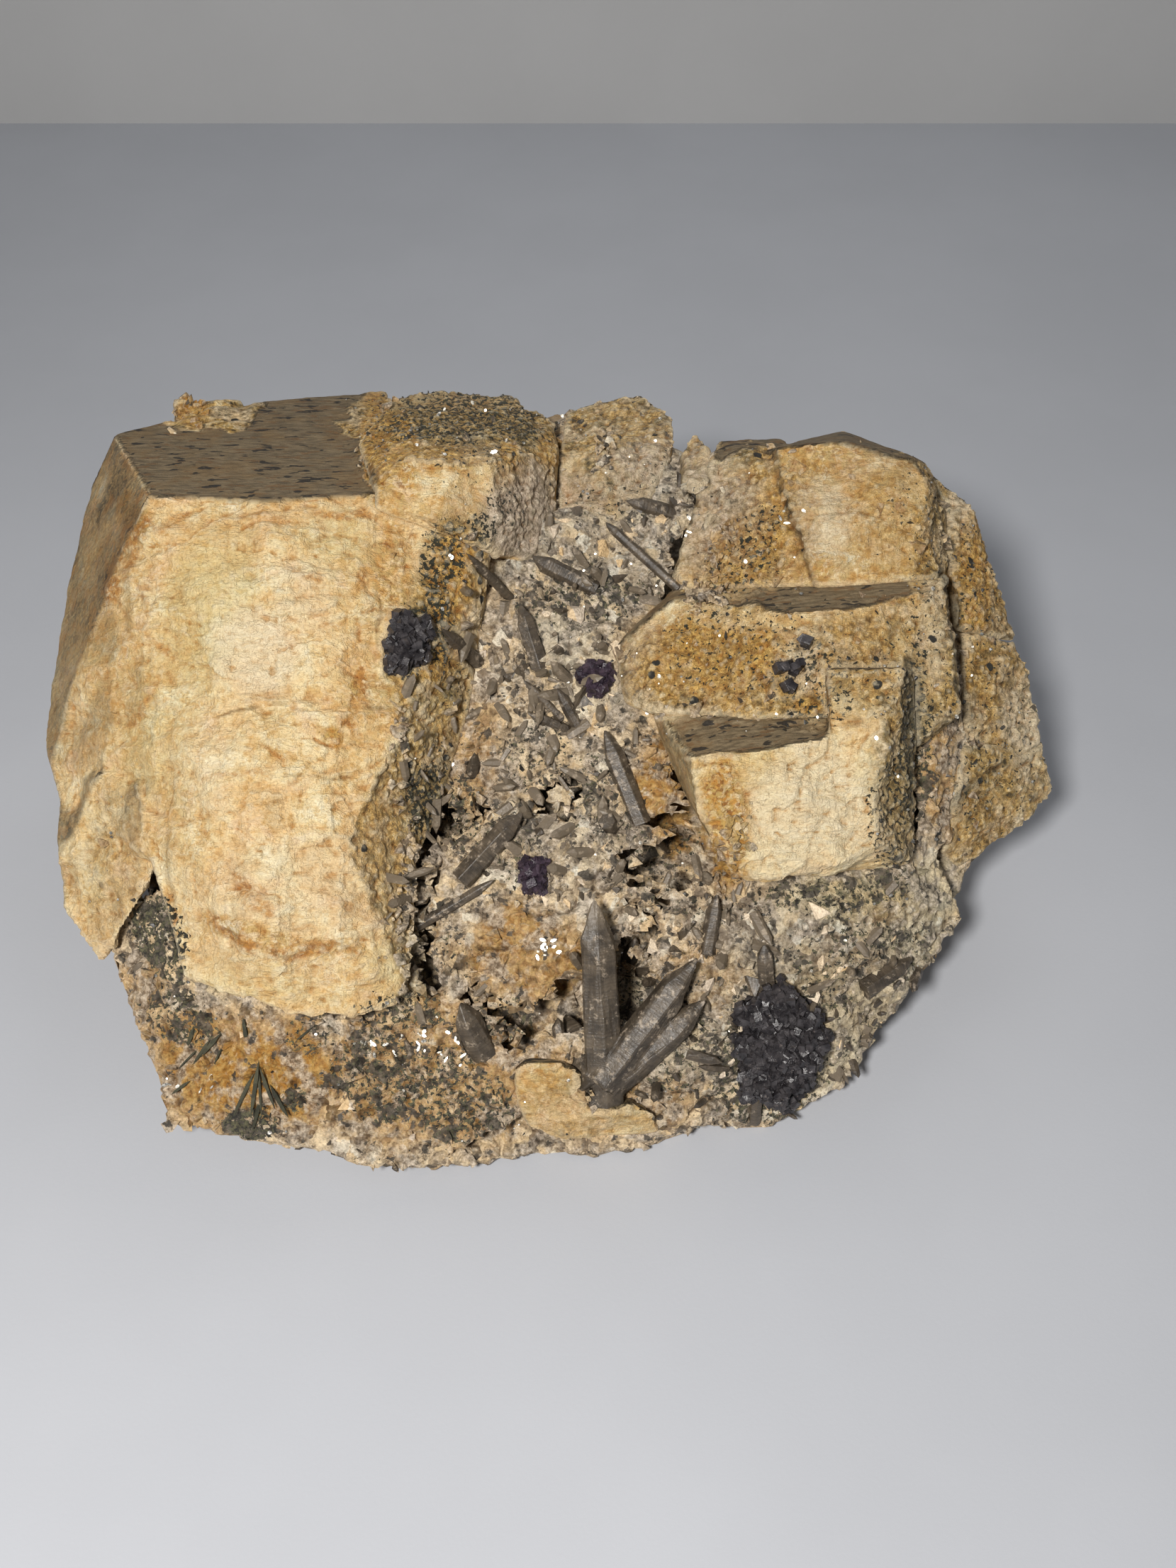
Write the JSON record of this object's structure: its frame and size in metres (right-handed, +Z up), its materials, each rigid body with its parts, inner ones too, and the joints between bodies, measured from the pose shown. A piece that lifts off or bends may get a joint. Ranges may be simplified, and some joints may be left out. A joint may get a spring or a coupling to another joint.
{
  "type": "fluorite on matrix",
  "caption": "Mineral specimen: very dark purple fluorite and smoky quartz crystals with large cream feldspar crystals on a rough pegmatite matrix, standing on a flat underside.",
  "frame": {"origin": "on the surface that the specimen stands on, under the middle of its box", "axes": "+Z up, +X to the right of the showing side, which faces -Y and leans back; the specimen's longest side runs along X"},
  "size_m": [0.1682, 0.1276, 0.081],
  "materials": {
    "matrix": "rough, crumbly, cream to rusty brown with dark grains",
    "feldspar": "cream with orange iron stains, broken cleavage",
    "quartz": "smoky grey-brown, satin, slightly see-through",
    "fluorite": "very dark purple, glossy small faces"
  },
  "bodies": {
    "root": {"matrix": "matrix", "feldspar_left": "feldspar", "feldspar_knob": "feldspar", "feldspar_top": "feldspar", "feldspar_top_lump": "feldspar", "feldspar_lower_right": "feldspar", "feldspar_middle": "feldspar", "feldspar_upper_right": "feldspar", "feldspar_right_upper_plate": "feldspar", "feldspar_right_middle_plate": "feldspar", "feldspar_right_lower_plate": "feldspar", "feldspar_bottom": "feldspar", "quartz_spray": "quartz", "quartz_beside_spray": "quartz", "quartz_upright": "quartz", "quartz_behind_spray": "quartz", "quartz_valley_upper": "quartz", "quartz_valley_dark": "quartz", "quartz_valley_slender": "quartz", "quartz_by_left_crystal": "quartz", "quartz_needle": "quartz", "quartz_under_top": "quartz", "quartz_middle_one": "quartz", "quartz_middle_two": "quartz", "quartz_middle_three": "quartz", "quartz_long": "quartz", "quartz_long_lower": "quartz", "quartz_tall_left": "quartz", "quartz_diagonal": "quartz", "quartz_round": "quartz", "quartz_short": "quartz", "quartz_slender_lower": "quartz", "quartz_stub": "quartz", "quartz_below_left_crystal": "quartz", "quartz_pale": "quartz", "quartz_foot": "quartz", "quartz_right_end": "quartz", "fluorite_large_cluster": "fluorite", "fluorite_left_cluster": "fluorite", "fluorite_purple_centre": "fluorite", "fluorite_purple_lower": "fluorite", "fluorite_beads_upper": "fluorite", "fluorite_beads_middle": "fluorite", "fluorite_beads_lower": "fluorite"}
  },
  "joints": []
}
